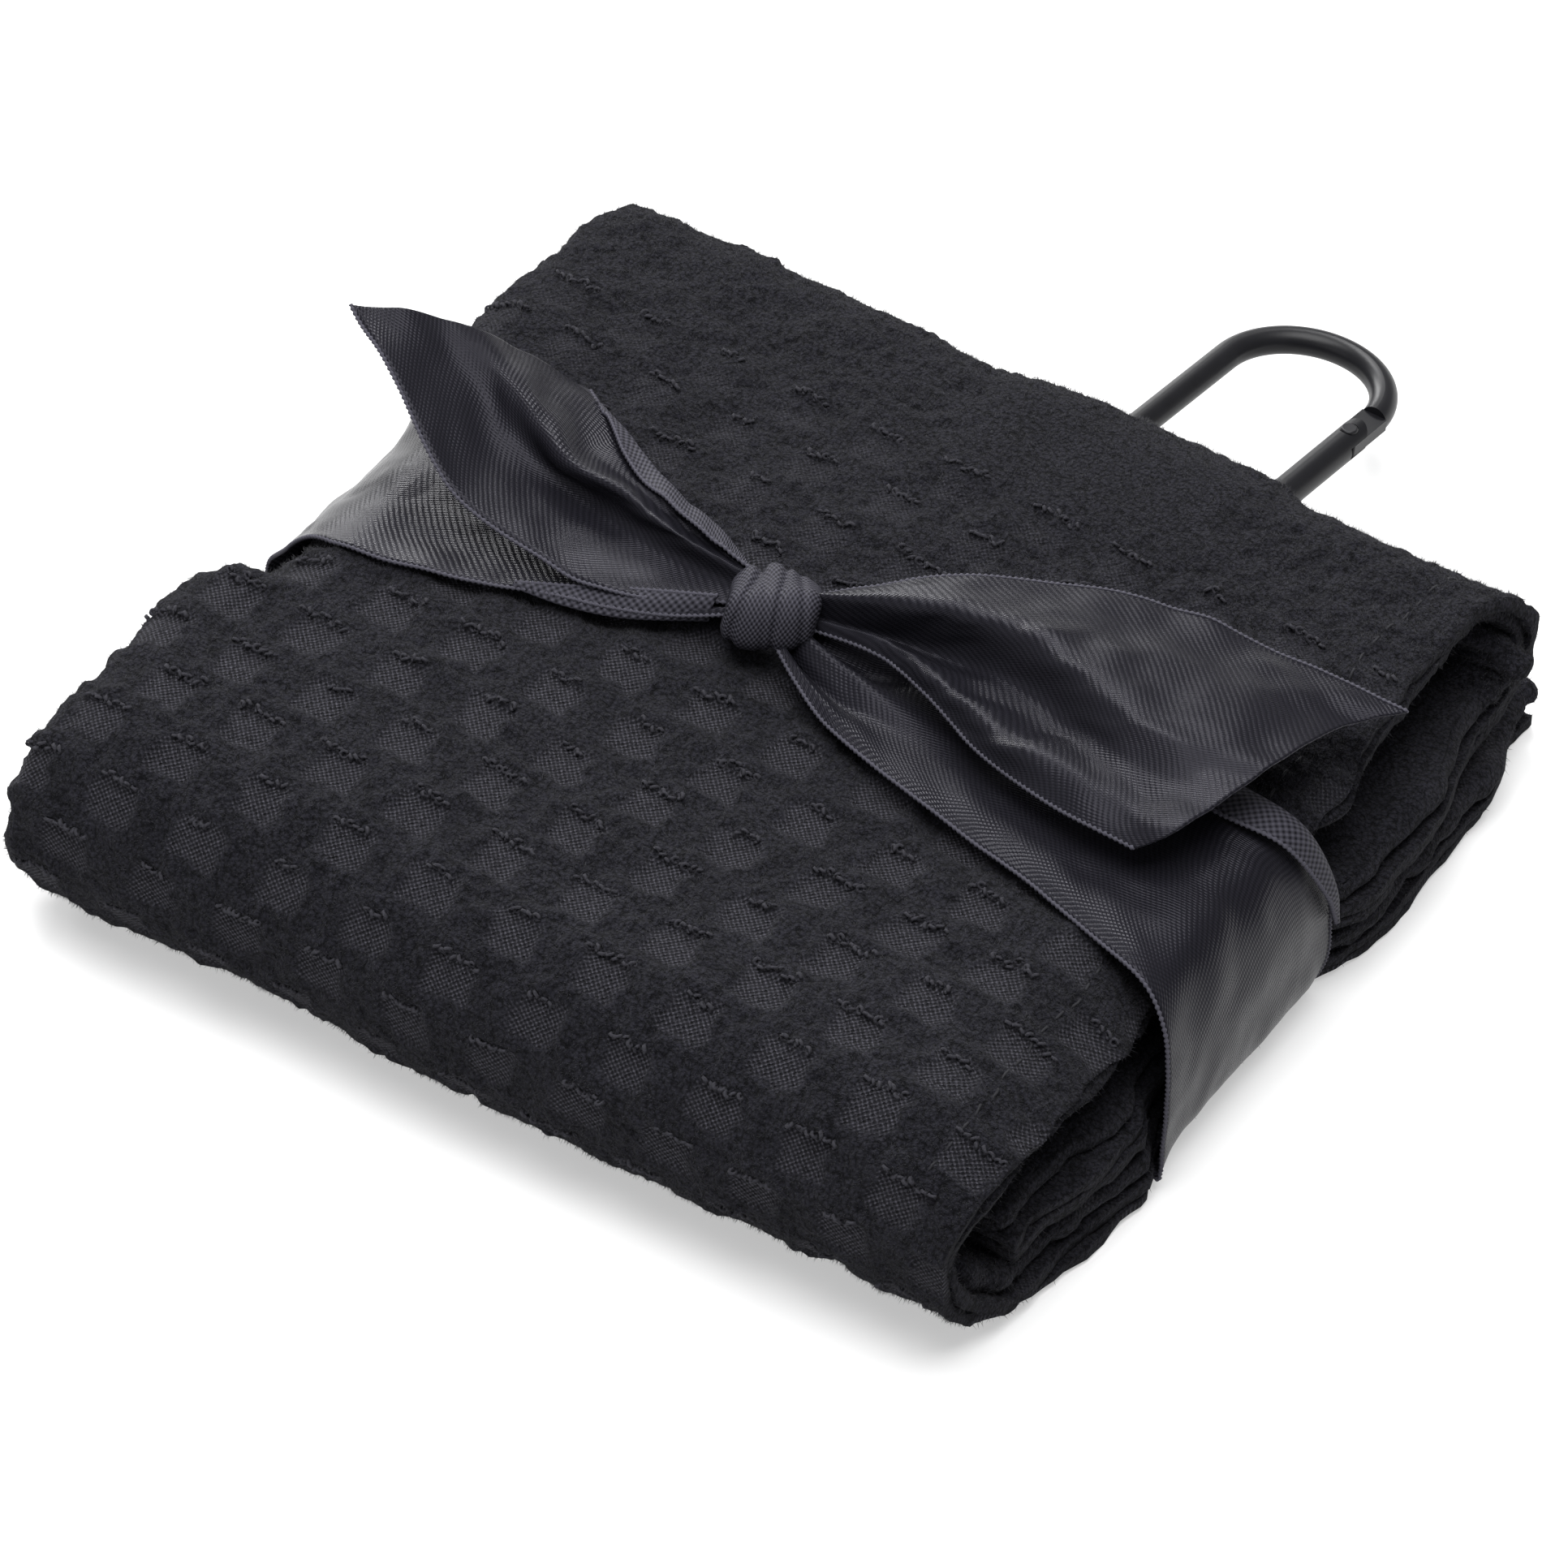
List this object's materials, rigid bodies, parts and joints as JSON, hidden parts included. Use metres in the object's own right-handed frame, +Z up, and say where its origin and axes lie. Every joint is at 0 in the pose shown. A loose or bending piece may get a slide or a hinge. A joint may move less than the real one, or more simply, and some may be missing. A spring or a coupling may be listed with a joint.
{
  "type": "golf towel",
  "caption": "Folded terry-velour golf towel with a woven check, tied with a wide satin ribbon, with a spring-gate clip through an eyelet in its hem.",
  "frame": {"origin": "centre of the folded bundle's underside, on the surface that it lies on", "axes": "+X along the folded front edge towards the end with the open hems, +Y from the folded front edge to the open rear edge that the clip comes out of, +Z up"},
  "size_m": [0.1535, 0.1917, 0.0532],
  "materials": {
    "towel": "cotton terry velour, cut pile with flat woven squares",
    "thread": "spun polyester sewing thread",
    "eyelet": "black lacquered brass, satin",
    "clip_metal": "black anodised, matt",
    "rivet_metal": "black finished steel, satin",
    "steel": "plain spring steel",
    "ribbon": "double-face polyester satin with woven edges"
  },
  "bodies": {
    "bundle": {"towel_cloth": "towel", "hem_stitching": "thread", "eyelet_barrel": "eyelet", "eyelet_washer": "eyelet", "ribbon_wrap": "ribbon", "ribbon_knot": "ribbon", "ribbon_tail_left": "ribbon", "ribbon_tail_right": "ribbon"},
    "clip": {"clip_frame": "clip_metal", "gate_rivet": "rivet_metal"},
    "gate": {"clip_gate": "clip_metal", "gate_latch_pin": "rivet_metal", "gate_spring": "steel"},
    "plunger": {"gate_plunger": "steel"}
  },
  "joints": [
    {"name": "clip_swing", "type": "hinge", "parent": "bundle", "child": "clip", "pos_m": [0.0168, 0.0609, 0.0171], "axis": [0.0032, 0.1305, 0.9914], "range_deg": [-8, 8]},
    {"name": "gate_hinge", "type": "hinge", "parent": "clip", "child": "gate", "pos_m": [0.02991, 0.09787, 0.01219], "axis": [-0.0032, -0.1305, -0.9914], "range_deg": [0, 32], "stiffness_Nm_per_rad": 0.12, "springref_deg": -20.05},
    {"name": "plunger_slide", "type": "slide", "parent": "gate", "child": "plunger", "axis": [-0.0242, -0.9911, 0.1305], "range_m": [0, 0.00035]}
  ],
  "couplings": [
    {"joint": "plunger_slide", "follows": "gate_hinge", "m_per_rad": 0.0005371}
  ]
}
